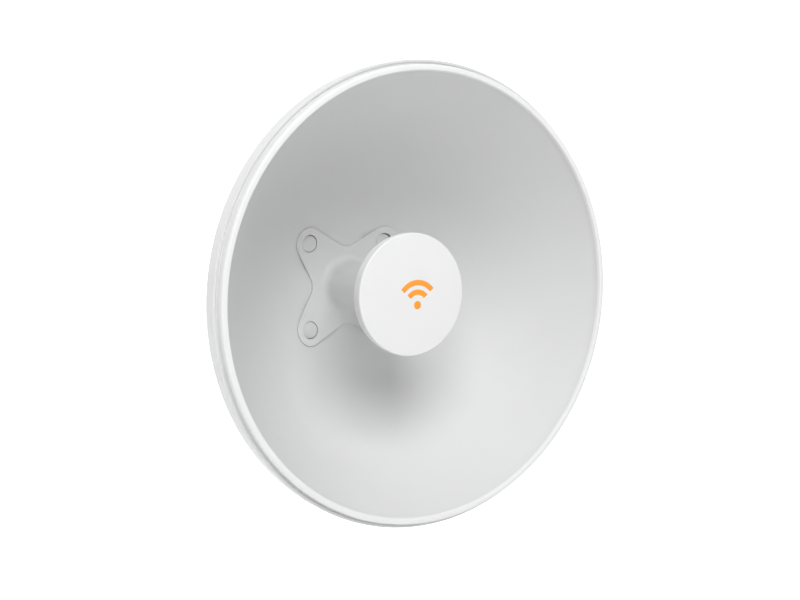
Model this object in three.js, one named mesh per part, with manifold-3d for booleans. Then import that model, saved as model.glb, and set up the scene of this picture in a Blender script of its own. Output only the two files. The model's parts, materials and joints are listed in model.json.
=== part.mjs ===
// Outdoor wireless bridge: a 400 mm parabolic dish with a splash-plate feed, a twist-on radio behind it
// and a tilting pole bracket.
//
// Units are millimetres and +Z is up. The origin is the axis of a 48 mm pole, halfway up the clamp.
// The pole runs along Z, and the dish looks along -Y with its axis through the origin.
import * as THREE from "three";
import { mergeVertices } from "three/addons/utils/BufferGeometryUtils.js";
import Module from "manifold-3d";

const wasm = await Module();
wasm.setup();

// ---------------------------------------------------------------- driving dimensions

const GAP = 0.3; // air left between two pieces that touch

const dish = {
  outerR: 200,
  apertureR: 190,
  depth: 150,
  flatR: 45, // the curve starts here, outside the feed plate's flat middle
  holeR: 30,
  backR: 187, // the bowl's back meets the underside of the flange here
  wall: 2,
  vertexY: -136,
  segments: 48,
};
const rim = {
  height: 3, // the bead stands this far in front of the aperture
  beadWidth: 5.5,
  flangeDrop: 4, // from the aperture back to the flange's front face
  skirt: 13,
};
const feed = {
  tubeR: 23.3,
  boreR: 21.2,
  plate: 1.6,
  flareR: 31,
  flareLength: 9,
  lobeSpacing: 83,
  lobeR: 15,
  waist: 38,
  waistR: 17,
  spigotR: 29.5,
  tailY: -112,
  bossR: 9.8, // the bosses stand through the dish, round the studs
};
const cap = { faceR: 54.6, baseR: 53.6, frontY: -253, thickness: 11.5, wall: 1.8 };
const bolt6 = { r: 3, headR: 8.1, headHeight: 2.4, clearR: 3.4, length: 25.5 };
const bolt8 = { r: 3.9, headR: 8.6, headHeight: 4.4, neckHalf: 3.8, clearR: 4.3, length: 20.5 };
const hub = {
  plateR: 74,
  backY: -122,
  barrelR: 44,
  cavityR: 40,
  lipR: 35.5,
  lipY: -115.5,
  mouthY: -112,
  floorY: -128,
  lobeR: 13,
  waist: 45.5,
};
const twist = { lugs: 3, lugDeg: 26, slotDeg: 34, turnDeg: 32 };
const radio = {
  R: 55,
  frontY: -108,
  splitY: -93,
  panelY: -68,
  finY: -64,
  wall: 2.5,
  collarR: 34.5,
  collarBoreR: 27,
  screwR: 45, // the three cover screws stand on this circle
  screwLength: 32,
};
const fin = { count: 9, pitch: 8, thickness: 2.4, circleR: 44, middleHalf: 34 };
const board = { R: 46, probeR: 30, thickness: 1.6, fromSplit: 2.4 };
const can = { R: 25, wall: 1, height: 10 };
const jack = { halfWidth: 8, depth: 13.5, bottom: -40, top: -19 };
const groundAt = [-42, 4];
const ventAt = [42, 4];
const resetAt = [-14, -42.5];
const lens = { halfWidth: 7, halfHeight: 2, z: -42.5 };
const gland = {
  y: -78.5,
  chinZ: -60,
  chinR: 13,
  bodyR: 11.5,
  nutR: 15,
  boreR: 8.5,
  cableR: 3.4,
  grips: 8,
  nutEnd: 29, // depths of the gland's pieces are measured down from the radio's chin
  bodyEnd: 19,
};
const yoke = { plateY: -121.7, gauge: 3, earX: 67, bend: 5 };
const pivot = { y: -62, z: 0, slotR: 42, slotDeg: 120, tiltDeg: 15 };
const bracket = { webY: -38.6, gauge: 3, earX: 70.6, bend: 5, top: 58, bottom: -58 };
const clamp = {
  boltX: 37,
  boltZ: 44,
  boltEndY: 54,
  poleR: 24,
  jawHeight: 24,
  baseY: 38.3,
  wing: 9.5, // the jaw runs this far past its bolts
  tipX: 24,
  tipY: -10,
  toothDepth: 1.3,
};

// Cutting shapes run this far, past the head in front and behind and past the brackets at each side.
const past = { front: -300, back: -90, side: 80 };

// ---------------------------------------------------------------- materials

const paint = (color, roughness, metalness = 0) =>
  new THREE.MeshStandardMaterial({ color, roughness, metalness });

const finish = {
  reflector: paint(0xe4e5e6, 0.45),
  feedPlastic: paint(0xe2e3e4, 0.5),
  capPlastic: paint(0xf6f6f7, 0.4),
  radioPlastic: paint(0xf0f1f1, 0.5),
  castMetal: paint(0xb9bcbf, 0.5, 0.8),
  coatedSteel: paint(0xd9dbdc, 0.5),
  zinc: paint(0xc4c6c8, 0.35, 0.9),
  aluminium: paint(0xc9ccd0, 0.35, 0.9),
  rubber: paint(0x222426, 0.8),
  dielectric: paint(0xe9e4d8, 0.5),
  board: paint(0x1f5c3a, 0.6),
  blackPlastic: paint(0x2a2c2e, 0.5),
  lens: paint(0xdfe8ea, 0.2),
};

// ---------------------------------------------------------------- geometry helpers

function solidOf(geometry) {
  const bare = geometry.clone();
  bare.deleteAttribute("normal");
  bare.deleteAttribute("uv");
  const merged = mergeVertices(bare, 1e-4);
  return new wasm.Manifold(
    new wasm.Mesh({
      numProp: 3,
      vertProperties: new Float32Array(merged.attributes.position.array),
      triVerts: new Uint32Array(merged.index.array),
    }),
  );
}

function geometryOf(solid) {
  const mesh = solid.getMesh();
  const geometry = new THREE.BufferGeometry();
  geometry.setAttribute("position", new THREE.BufferAttribute(new Float32Array(mesh.vertProperties), 3));
  geometry.setIndex(new THREE.BufferAttribute(new Uint32Array(mesh.triVerts), 1));
  const flat = geometry.toNonIndexed();
  flat.computeVertexNormals();
  return flat;
}

// Twice the signed area of a closed outline of [r, y] points.
function turning(outline) {
  return outline.reduce((sum, [r, y], i) => {
    const [nextR, nextY] = outline[(i + 1) % outline.length];
    return sum + r * nextY - nextR * y;
  }, 0);
}

// A closed outline of [r, y] points turned about the Y axis.
function lathe(outline, segments = 32) {
  const ordered = turning(outline) > 0 ? outline : [...outline].reverse();
  const points = ordered.map(([r, y]) => new THREE.Vector2(r, y));
  return new THREE.LatheGeometry([...points, points[0]], segments);
}

const ring = (innerR, outerR, y0, y1, segments = 32) =>
  lathe([[innerR, y0], [outerR, y0], [outerR, y1], [innerR, y1]], segments);

const disc = (r, y0, y1, segments = 32) => lathe([[0, y0], [r, y0], [r, y1], [0, y1]], segments);

// A shape drawn in X and Z, filling y0 to y1.
function alongY(shape, y0, y1, curveSegments = 10) {
  const geometry = new THREE.ExtrudeGeometry(shape, { depth: y1 - y0, bevelEnabled: false, curveSegments });
  return geometry.rotateX(Math.PI / 2).translate(0, y1, 0);
}

// A shape drawn in X and Y, filling z0 to z1.
function alongZ(shape, z0, z1, curveSegments = 3) {
  const geometry = new THREE.ExtrudeGeometry(shape, { depth: z1 - z0, bevelEnabled: false, curveSegments });
  return geometry.translate(0, 0, z0);
}

// A shape drawn in Y and Z, filling x0 to x1.
function alongX(shape, x0, x1, curveSegments = 3) {
  const geometry = new THREE.ExtrudeGeometry(shape, { depth: x1 - x0, bevelEnabled: false, curveSegments });
  const turn = new THREE.Matrix4().makeBasis(
    new THREE.Vector3(0, 1, 0),
    new THREE.Vector3(0, 0, 1),
    new THREE.Vector3(1, 0, 0),
  );
  return geometry.applyMatrix4(turn).translate(x0, 0, 0);
}

const box = (x0, x1, y0, y1, z0, z1) =>
  new THREE.BoxGeometry(x1 - x0, y1 - y0, z1 - z0).translate((x0 + x1) / 2, (y0 + y1) / 2, (z0 + z1) / 2);

// A cylinder or prism that stands along Z on the gland's axis.
const upright = (r, z0, z1, segments) =>
  new THREE.CylinderGeometry(r, r, z1 - z0, segments)
    .rotateX(Math.PI / 2)
    .translate(0, gland.y, (z0 + z1) / 2);

// A polygon with its corners rounded by up to the given radius.
function roundedPolygon(points, radius) {
  const shape = new THREE.Shape();
  points.forEach(([x, y], i) => {
    const [px, py] = points[(i + points.length - 1) % points.length];
    const [nx, ny] = points[(i + 1) % points.length];
    const before = Math.hypot(px - x, py - y);
    const after = Math.hypot(nx - x, ny - y);
    const cut = Math.min(radius, before / 2.2, after / 2.2);
    const startX = x + ((px - x) / before) * cut;
    const startY = y + ((py - y) / before) * cut;
    if (i === 0) shape.moveTo(startX, startY);
    else shape.lineTo(startX, startY);
    shape.quadraticCurveTo(x, y, x + ((nx - x) / after) * cut, y + ((ny - y) / after) * cut);
  });
  shape.closePath();
  return shape;
}

function circle(x, y, r) {
  const shape = new THREE.Shape();
  shape.absarc(x, y, r, 0, 2 * Math.PI);
  return shape;
}

const steps = (from, to, n) => Array.from({ length: n + 1 }, (_, i) => from + ((to - from) * i) / n);

const unionOf = (...geometries) => geometries.map(solidOf).reduce((sum, next) => sum.add(next));
const cutFrom = (solid, ...geometries) => geometries.reduce((rest, g) => rest.subtract(solidOf(g)), solid);

const group = new THREE.Group();

function place(name, geometry, material, parent = group) {
  const mesh = new THREE.Mesh(geometry, material);
  mesh.name = name;
  parent.add(mesh);
  return mesh;
}

const quarters = [[1, 1], [-1, 1], [-1, -1], [1, -1]]; // right-top, left-top, left-bottom, right-bottom
const sides = [["left", -1], ["right", 1]];
const levels = [["upper", 1], ["lower", -1]];

// ---------------------------------------------------------------- reflector

const curveK = (dish.apertureR - dish.flatR) ** 2 / dish.depth;
const dishY = (r) => dish.vertexY - Math.max(0, r - dish.flatR) ** 2 / curveK;
const dishSlope = (r) => (2 * Math.max(0, r - dish.flatR)) / curveK;

// A point on the surface that lies this far behind the dish's front surface.
function behindDish(r, distance) {
  const slope = dishSlope(r);
  const length = Math.hypot(1, slope);
  return [r + (distance * slope) / length, dishY(r) + distance / length];
}

const apertureY = dish.vertexY - dish.depth;
const lobe = feed.lobeSpacing / 2;
const lobeAt = quarters.map(([sx, sz]) => [sx * lobe, sz * lobe]);
const studSeatY = dish.vertexY + 0.8;

function reflectorGeometry() {
  const crest = apertureY - rim.height;
  const beadOuter = dish.apertureR + rim.beadWidth;
  const flange = apertureY + rim.flangeDrop;
  const underFlange = flange + dish.wall;
  const outline = [
    ...[dish.holeR, ...steps(dish.flatR, dish.apertureR, 9)].map((r) => [r, dishY(r)]),
    [dish.apertureR + 0.6, crest + 0.9],
    [dish.apertureR + 1.7, crest],
    [beadOuter - 1.7, crest],
    [beadOuter - 0.4, crest + 1.2],
    [beadOuter + 0.3, flange],
    [dish.outerR - 0.8, flange],
    [dish.outerR, flange + 0.8],
    [dish.outerR, flange + rim.skirt],
    [dish.outerR - dish.wall, flange + rim.skirt],
    [dish.outerR - dish.wall, underFlange],
    ...steps(dish.flatR, dish.backR, 9).reverse().map((r) => behindDish(r, dish.wall)),
    [dish.holeR, dish.vertexY + dish.wall],
  ];
  const bossHoles = lobeAt.map(([x, z]) => alongY(circle(x, z, feed.bossR + 0.4), past.front, past.back, 8));
  return geometryOf(cutFrom(solidOf(lathe(outline, dish.segments)), ...bossHoles));
}

// ---------------------------------------------------------------- feed

// A four-lobed outline: round lobes on the studs, joined by straight flanks and round waists.
function lobedShape(lobeR, waist, curveSegments = 4) {
  const { waistR } = feed;
  const waistHeight = waist + waistR;
  const away = Math.hypot(lobe, waistHeight - lobe);
  const tangent = Math.atan2(waistHeight - lobe, -lobe) - Math.acos((lobeR + waistR) / away);
  const points = [];
  for (let turn = 0; turn < 4; turn += 1) {
    const spin = (turn * Math.PI) / 2;
    const add = (x, y) => {
      const [c, d] = [Math.cos(spin), Math.sin(spin)];
      points.push(new THREE.Vector2(x * c - y * d, x * d + y * c));
    };
    for (const a of steps(Math.PI / 2 - tangent, tangent, curveSegments * 2)) {
      add(lobe + lobeR * Math.cos(a), lobe + lobeR * Math.sin(a));
    }
    for (const a of steps(tangent - Math.PI, -tangent, curveSegments)) {
      add(waistR * Math.cos(a), waistHeight + waistR * Math.sin(a));
    }
  }
  return new THREE.Shape(points);
}

const tubeMouthY = cap.frontY + cap.thickness + GAP;

function feedBodyGeometry() {
  const plateFront = (r) => dishY(r) - GAP - feed.plate;
  const reach = lobe * Math.SQRT2 + feed.lobeR + 1;
  const flareY = plateFront(feed.flareR);
  const flare = steps(0, 1, 4).map((t) => {
    const a = (t * Math.PI) / 2;
    return [
      feed.tubeR + (feed.flareR - feed.tubeR) * (1 - Math.cos(a)),
      flareY - feed.flareLength * (1 - Math.sin(a)),
    ];
  });
  const outline = [
    [feed.boreR, tubeMouthY],
    [feed.tubeR, tubeMouthY],
    ...flare,
    ...steps(dish.flatR, reach, 2).map((r) => [r, plateFront(r)]),
    ...steps(dish.flatR, reach, 2).reverse().map((r) => [r, dishY(r) - GAP]),
    [feed.spigotR, dish.vertexY - GAP],
    [feed.spigotR, dish.vertexY + dish.wall + GAP],
    [feed.tubeR, dish.vertexY + dish.wall + GAP],
    [feed.tubeR, feed.tailY],
    [feed.boreR, feed.tailY],
  ];
  const lobed = solidOf(alongY(lobedShape(feed.lobeR, feed.waist), past.front, past.back));
  let body = solidOf(lathe(outline, dish.segments)).intersect(lobed);
  for (const [x, z] of lobeAt) {
    body = body.add(solidOf(alongY(circle(x, z, feed.bossR), dish.vertexY - 1.2, dish.vertexY + 3.7, 8)));
    body = cutFrom(
      body,
      alongY(circle(x, z, bolt6.headR + GAP), past.front, studSeatY, 8),
      alongY(circle(x, z, bolt6.clearR), past.front, past.back, 4),
    );
  }
  return geometryOf(body);
}

const waveguide = { outerR: feed.boreR - GAP, boreR: 19.4, frontY: -218 };

// The plastic plug that closes the tube's mouth, with a cone inside the waveguide.
function feedPlugGeometry() {
  return lathe(
    [
      [0, tubeMouthY + 0.4],
      [feed.boreR - GAP, tubeMouthY + 0.4],
      [feed.boreR - GAP, waveguide.frontY - GAP],
      [waveguide.boreR - GAP, waveguide.frontY - GAP],
      [waveguide.boreR - GAP, waveguide.frontY + 8],
      [0, waveguide.frontY + 34],
    ],
    32,
  );
}

const capSkirtY = cap.frontY + cap.thickness * 0.56;

function feedCapGeometry() {
  const { faceR, frontY, wall } = cap;
  return lathe(
    [
      [0, frontY],
      [faceR - 1.6, frontY],
      [faceR - 0.4, frontY + 0.5],
      [faceR, frontY + 1.6],
      [faceR, capSkirtY],
      [faceR - wall, capSkirtY],
      [faceR - wall, frontY + wall],
      [0, frontY + wall],
    ],
    48,
  );
}

// The cap's lower half, set back behind a groove, with a lip that stands inside the cap's skirt.
function capBaseGeometry() {
  const backY = cap.frontY + cap.thickness;
  const grooveY = capSkirtY + 1.1;
  const lipR = cap.faceR - cap.wall - GAP;
  const lipHeight = 1.8;
  const floorY = grooveY + 0.6;
  return lathe(
    [
      [0, backY],
      [cap.baseR - 0.9, backY],
      [cap.baseR, backY - 0.9],
      [cap.baseR, grooveY],
      [lipR, grooveY],
      [lipR, grooveY - lipHeight],
      [lipR - 1.3, grooveY - lipHeight],
      [lipR - 1.3, floorY],
      [0, floorY],
    ],
    40,
  );
}

// The metal splash plate inside the cap.
function subreflectorGeometry() {
  const frontY = cap.frontY + cap.wall + GAP;
  return lathe(
    [
      [0, frontY],
      [49, frontY],
      [49, frontY + 1.5],
      [38, frontY + 1.5],
      [30, frontY + 2.6],
      [12, frontY + 2.6],
      [0, frontY + 3.4],
    ],
    32,
  );
}

function addFeed(parent) {
  place("feed_body", feedBodyGeometry(), finish.feedPlastic, parent);
  place(
    "waveguide",
    ring(waveguide.boreR, waveguide.outerR, waveguide.frontY, feed.tailY, 32),
    finish.aluminium,
    parent,
  );
  place("feed_plug", feedPlugGeometry(), finish.dielectric, parent);
  place("cap_base", capBaseGeometry(), finish.capPlastic, parent);
  place("subreflector", subreflectorGeometry(), finish.aluminium, parent);
  place("cap_seal", ring(49.3, 50.6, cap.frontY + 2.2, cap.frontY + 3.7, 32), finish.rubber, parent);
  place("feed_cap", feedCapGeometry(), finish.capPlastic, parent);
}

// ---------------------------------------------------------------- rear hub with the twist socket

// Angles in the socket run from +Z towards +X, so that a positive turn about +Y adds to them.
function sector(centreDeg, widthDeg, innerR, outerR) {
  const shape = new THREE.Shape();
  const at = (r, deg) => {
    const a = (deg * Math.PI) / 180;
    return [r * Math.sin(a), r * Math.cos(a)];
  };
  const arc = steps(centreDeg - widthDeg / 2, centreDeg + widthDeg / 2, 4);
  arc.forEach((deg, i) => (i === 0 ? shape.moveTo(...at(outerR, deg)) : shape.lineTo(...at(outerR, deg))));
  [...arc].reverse().forEach((deg) => shape.lineTo(...at(innerR, deg)));
  shape.closePath();
  return shape;
}

const lugAngles = Array.from({ length: twist.lugs }, (_, i) => (i * 360) / twist.lugs);

function rearHubGeometry() {
  const seatY = dish.vertexY + dish.wall + 2 * GAP;
  const tubeHoleR = feed.tubeR + GAP + 0.4;
  const outline = [
    [tubeHoleR, seatY],
    [dish.flatR, seatY],
    ...steps(dish.flatR + 6, hub.plateR, 2).map((r) => [r, dishY(r) + dish.wall * 1.1 + GAP]),
    [hub.plateR, hub.backY],
    [hub.barrelR, hub.backY],
    [hub.barrelR, hub.mouthY],
    [hub.lipR, hub.mouthY],
    [hub.lipR, hub.lipY],
    [hub.cavityR, hub.lipY],
    [hub.cavityR, hub.floorY],
    [tubeHoleR, hub.floorY],
  ];
  const lobed = solidOf(alongY(lobedShape(hub.lobeR, hub.waist, 3), past.front, past.back));
  let body = solidOf(lathe(outline, 36)).intersect(lobed);
  for (const [x, z] of lobeAt) {
    body = cutFrom(
      body,
      alongY(circle(x, z, feed.bossR + 0.4), past.front, dish.vertexY + 4, 8),
      alongY(circle(x, z, bolt6.clearR), past.front, past.back, 4),
    );
  }
  for (const angle of lugAngles) {
    const entry = sector(angle + twist.turnDeg, twist.slotDeg, hub.lipR - 2, hub.cavityR);
    body = cutFrom(body, alongY(entry, hub.lipY - 0.5, hub.mouthY + 1));
  }
  return geometryOf(body);
}

// ---------------------------------------------------------------- fasteners

// A bolt along +Y: its head's bearing face is at y = 0, with the head in front and the shank behind.
function carriageBolt(length) {
  const { r, headR, headHeight, neckHalf } = bolt8;
  const dome = steps(0, 1, 2).map((t) => {
    const a = (t * Math.PI) / 2;
    return [headR * Math.sin(a), -headHeight * Math.cos(a) * 0.9 - (1 - t) * 0.4];
  });
  const body = lathe([...dome, [headR, 0], [r, 0], [r, length - 1], [r - 1, length], [0, length]], 12);
  const neck = box(-neckHalf, neckHalf, -0.5, 2.9, -neckHalf, neckHalf);
  return geometryOf(unionOf(body, neck));
}

// An M6 stud along +Y whose plain flat head closes its well in the feed's plate.
function feedStud() {
  const { r, headR, headHeight, length } = bolt6;
  const outline = [
    [0, -headHeight], [headR - 0.4, -headHeight], [headR, 0.4 - headHeight], [headR, 0],
    [r, 0], [r, length - 0.8], [r - 0.8, length], [0, length],
  ];
  return lathe(outline, 14);
}

function hexPrism(acrossRadius, y0, y1) {
  return new THREE.CylinderGeometry(acrossRadius, acrossRadius, y1 - y0, 6).translate(0, (y0 + y1) / 2, 0);
}

// A flange nut along +Y, its flange against y = 0.
function flangeNut(boreR, hexR, flangeR, height) {
  const flange = lathe([[0, 0], [flangeR, 0], [flangeR, 1], [hexR * 0.9, 2.2], [0, 2.2]], 12);
  const body = unionOf(flange, hexPrism(hexR, 0.1, height));
  return geometryOf(cutFrom(body, disc(boreR, -1, height + 1, 8)));
}

const squareHalf = bolt8.neckHalf + 0.35; // half a square hole for a carriage bolt's neck

const m8Nut = () => flangeNut(bolt8.r + GAP, 7.5, 8.8, 7.6);
const m6Nut = () => flangeNut(bolt6.r + GAP, 5.8, 7, 5.6);

// ---------------------------------------------------------------- yoke and its bolts

const lockAt = {
  y: pivot.y + pivot.slotR * Math.cos((pivot.slotDeg * Math.PI) / 180),
  z: pivot.z + pivot.slotR * Math.sin((pivot.slotDeg * Math.PI) / 180),
};

// A channel of bent sheet in the XY plane: a web at webY and two arms that run to endY.
function channelShape(halfWidth, gauge, webY, endY, bend) {
  const inward = Math.sign(endY - webY);
  const outer = [[-halfWidth, endY], [-halfWidth, webY], [halfWidth, webY], [halfWidth, endY]];
  const innerHalf = halfWidth - gauge;
  const innerWeb = webY + gauge * inward;
  const shape = new THREE.Shape();
  shape.moveTo(...outer[0]);
  shape.lineTo(-halfWidth, webY + bend * inward);
  shape.quadraticCurveTo(-halfWidth, webY, -halfWidth + bend, webY);
  shape.lineTo(halfWidth - bend, webY);
  shape.quadraticCurveTo(halfWidth, webY, halfWidth, webY + bend * inward);
  shape.lineTo(...outer[3]);
  shape.lineTo(innerHalf, endY);
  shape.lineTo(innerHalf, innerWeb + 2 * inward);
  shape.quadraticCurveTo(innerHalf, innerWeb, innerHalf - 2, innerWeb);
  shape.lineTo(-innerHalf + 2, innerWeb);
  shape.quadraticCurveTo(-innerHalf, innerWeb, -innerHalf, innerWeb + 2 * inward);
  shape.lineTo(-innerHalf, endY);
  shape.closePath();
  return shape;
}

function yokeGeometry() {
  const side = [
    [-124, -54], [-116, -54], [-104, -44], [-68, -13], [-49, -13],
    [-49, 12], [-68, 45], [-80, 50], [-110, 50], [-116, 54], [-124, 54],
  ];
  const channel = solidOf(alongZ(channelShape(yoke.earX, yoke.gauge, yoke.plateY, -46, yoke.bend), -60, 60));
  const body = channel.intersect(solidOf(alongX(roundedPolygon(side, 9), -past.side, past.side)));
  return geometryOf(
    cutFrom(
      body,
      disc(hub.barrelR + 0.6, past.front, past.back, 48),
      ...lobeAt.map(([x, z]) => alongY(circle(x, z, bolt6.clearR), past.front, past.back, 4)),
      ...[pivot, lockAt].map(({ y, z }) =>
        box(-past.side, past.side, y - squareHalf, y + squareHalf, z - squareHalf, z + squareHalf),
      ),
    ),
  );
}

// Points a piece built along +Y along X instead, outwards on its own side.
function turnOutwards(mesh, side) {
  mesh.rotation.z = -side * (Math.PI / 2);
}

function addYokeBolts(parent) {
  const headX = yoke.earX - yoke.gauge - GAP;
  const nutX = bracket.earX + GAP;
  for (const [word, side] of sides) {
    for (const [use, at] of [["pivot", pivot], ["lock", lockAt]]) {
      const bolt = place(`${use}_bolt_${word}`, carriageBolt(bolt8.length), finish.zinc, parent);
      turnOutwards(bolt, side);
      bolt.position.set(side * headX, at.y, at.z);
      const nut = place(`${use}_nut_${word}`, m8Nut(), finish.zinc, parent);
      turnOutwards(nut, side);
      nut.position.set(side * nutX, at.y, at.z);
    }
  }
}

function addHead(parent) {
  place("reflector", reflectorGeometry(), finish.reflector, parent);
  addFeed(parent);
  place("rear_hub", rearHubGeometry(), finish.castMetal, parent);
  place("yoke", yokeGeometry(), finish.coatedSteel, parent);
  lobeAt.forEach(([x, z], i) => {
    const stud = place(`feed_stud_${i + 1}`, feedStud(), finish.feedPlastic, parent);
    stud.position.set(x, studSeatY - GAP, z);
    const nut = place(`hub_nut_${i + 1}`, m6Nut(), finish.zinc, parent);
    nut.position.set(x, yoke.plateY + yoke.gauge + GAP, z);
  });
  addYokeBolts(parent);
}

// ---------------------------------------------------------------- radio

const coverScrewAt = [90, 210, 330].map((deg) => {
  const a = (deg * Math.PI) / 180;
  return [radio.screwR * Math.cos(a), radio.screwR * Math.sin(a)];
});

function radioFrontGeometry() {
  const { R, frontY, splitY, wall, collarR, collarBoreR } = radio;
  const collarY = hub.floorY + 7; // the collar stops short of the socket's floor
  const shell = lathe(
    [
      [collarBoreR, collarY],
      [collarR, collarY],
      [collarR, frontY],
      [R - 5, frontY],
      [R - 1.4, frontY + 1.6],
      [R, frontY + 5],
      [R, splitY],
      [R - wall, splitY],
      [R - wall, frontY + 5],
      [R - wall - 3, frontY + wall + 0.6],
      [R - wall - 6, frontY + wall],
      [collarBoreR, frontY + wall],
    ],
    36,
  );
  const lugs = lugAngles.map((angle) =>
    alongY(sector(angle, twist.lugDeg, collarR - 1, hub.cavityR - 0.6), collarY, hub.lipY - GAP),
  );
  const bosses = coverScrewAt.map(([x, z]) =>
    ring(1.6, 4, frontY + wall - 0.5, splitY - GAP, 12).translate(x, 0, z),
  );
  return geometryOf(unionOf(shell, ...lugs, ...bosses));
}

function radioBackGeometry() {
  const { R, splitY, panelY, finY, wall } = radio;
  const shell = solidOf(
    lathe(
      [
        [0, panelY - wall],
        [R - wall - 4, panelY - wall],
        [R - wall, panelY - wall - 4],
        [R - wall, splitY + GAP],
        [R, splitY + GAP],
        [R, panelY - 5],
        [R - 1.5, panelY - 1.5],
        [R - 5, panelY],
        [0, panelY],
      ],
      36,
    ),
  );
  const fins = Array.from({ length: fin.count }, (_, i) => {
    const x = (i - (fin.count - 1) / 2) * fin.pitch;
    const half = x === 0 ? fin.middleHalf : Math.sqrt(fin.circleR ** 2 - x ** 2) - 7;
    return box(x - fin.thickness / 2, x + fin.thickness / 2, panelY - 0.5, finY, -half, half);
  });
  const chin = upright(gland.chinR, gland.chinZ, gland.chinZ + 14, 24);
  const cableWay = upright(gland.boreR, gland.chinZ - 9, gland.chinZ + 21, 20);
  const throughPanel = (r, [x, z], depth, segments) =>
    disc(r, panelY - depth, finY + 1, segments).translate(x, 0, z);
  const ways = [
    cableWay,
    ...coverScrewAt.map((at) => throughPanel(1.9, at, 30, 8)),
    ...coverScrewAt.map((at) => throughPanel(3.7, at, 3, 12)),
    throughPanel(2.4, groundAt, 8, 10),
    throughPanel(4.3, ventAt, 8, 14),
    throughPanel(2.9, resetAt, 8, 12),
    box(
      -lens.halfWidth - GAP, lens.halfWidth + GAP, panelY - 8, finY + 1,
      lens.z - lens.halfHeight - GAP, lens.z + lens.halfHeight + GAP,
    ),
  ];
  const bosses = coverScrewAt.map(([x, z]) => disc(4.6, splitY + 1, panelY - 1, 12).translate(x, 0, z));
  const solid = [...fins, chin, ...bosses].reduce((sum, g) => sum.add(solidOf(g)), shell);
  return geometryOf(cutFrom(solid, ...ways));
}

// A round headed piece along +Y, with the head's outer face at y = 0 and the stem in front of it.
function trimHead(headR, headHeight, stemR, stemLength, segments) {
  const outline = [
    [0, -stemLength], [stemR, -stemLength], [stemR, -headHeight], [headR, -headHeight],
    [headR, -0.4], [headR - 0.4, 0], [0, 0],
  ];
  return lathe(outline, segments);
}

const boardY = radio.splitY + board.fromSplit;
const boardBackY = boardY + board.thickness + GAP;

function mainBoardGeometry() {
  const disk = solidOf(disc(board.R, boardY, boardY + board.thickness, 32));
  const notches = coverScrewAt.map(([x, z]) => disc(5.2, boardY - 1, boardBackY + 1, 12).translate(x, 0, z));
  return geometryOf(cutFrom(disk, ...notches));
}

function jackGeometry() {
  const { halfWidth, depth, bottom, top } = jack;
  const body = solidOf(box(-halfWidth, halfWidth, boardBackY, boardBackY + depth, bottom, top));
  const mouthHalf = halfWidth - 2;
  const mouth = box(-mouthHalf, mouthHalf, boardBackY + 2.2, boardBackY + depth - 3, bottom - 4, top - 6);
  return geometryOf(cutFrom(body, mouth));
}

// The can behind the feed's probe, closed at the back.
function backshortCanGeometry(y) {
  const { R, wall, height } = can;
  const backY = y + height;
  const innerR = R - wall;
  return lathe([[innerR, y], [R, y], [R, backY], [0, backY], [0, backY - wall], [innerR, backY - wall]], 28);
}

function addRadioInside(parent) {
  const { frontY, splitY, panelY, wall, R } = radio;
  const caseSeal = ring(R - wall - 2.2, R - wall - GAP, splitY - 2, splitY + 1.2, 32);
  place("radio_seal", caseSeal, finish.rubber, parent);
  const socketSeal = ring(feed.tubeR + GAP, radio.collarBoreR - GAP, -119, -116.4, 28);
  place("socket_seal", socketSeal, finish.rubber, parent);
  const probeY = frontY + wall + GAP;
  const probeBackY = probeY + board.thickness;
  place("probe_board", disc(board.probeR, probeY, probeBackY, 28), finish.board, parent);
  place("backshort_can", backshortCanGeometry(probeBackY + GAP), finish.aluminium, parent);
  place("main_board", mainBoardGeometry(), finish.board, parent);
  const shieldBackY = boardBackY + 4;
  place("board_shield", box(-24, 24, boardBackY, shieldBackY, -14, 26), finish.aluminium, parent);
  const pad = box(-20, 20, shieldBackY + GAP, panelY - wall - GAP, -10, 22);
  place("thermal_pad", pad, finish.rubber, parent);
  place("ethernet_jack", jackGeometry(), finish.blackPlastic, parent);
}

function addRadioTrim(parent) {
  const { panelY, screwLength } = radio;
  const { halfWidth, halfHeight, z } = lens;
  const lensBox = box(-halfWidth, halfWidth, panelY - 3, panelY + 0.4, z - halfHeight, z + halfHeight);
  place("status_lens", lensBox, finish.lens, parent);
  const addTrim = (name, geometry, material, [x, atZ], faceY) => {
    place(name, geometry, material, parent).position.set(x, faceY, atZ);
  };
  coverScrewAt.forEach((at, i) => {
    const screw = trimHead(3.4, 2.2, 1.3, screwLength, 10);
    addTrim(`cover_screw_${i + 1}`, screw, finish.zinc, at, panelY - 0.4);
  });
  const groundHead = 2.6;
  const ground = trimHead(4.6, groundHead, 2, 8, 12);
  addTrim("ground_screw", ground, finish.zinc, groundAt, panelY + groundHead + GAP);
  const ventHead = 1.8;
  const vent = trimHead(6, ventHead, 4, 7, 16);
  addTrim("vent_plug", vent, finish.blackPlastic, ventAt, panelY + ventHead + GAP);
  // The button's stem is wider than its face, so the cover holds it in.
  const button = trimHead(2.5, 3.4, 3.9, 4.4, 14);
  addTrim("reset_button", button, finish.blackPlastic, resetAt, panelY + 0.4);
}

function addRadio(parent) {
  place("radio_front", radioFrontGeometry(), finish.radioPlastic, parent);
  place("radio_back", radioBackGeometry(), finish.radioPlastic, parent);
  addRadioInside(parent);
  addRadioTrim(parent);
}

// ---------------------------------------------------------------- cable gland

// A profile of [r, depth] points, where depth is measured down from the radio's chin.
function glandLathe(profile, segments = 20) {
  const outline = profile.map(([r, depth]) => [r, gland.chinZ - depth]);
  return lathe(outline, segments).rotateX(Math.PI / 2).translate(0, gland.y, 0);
}

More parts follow.
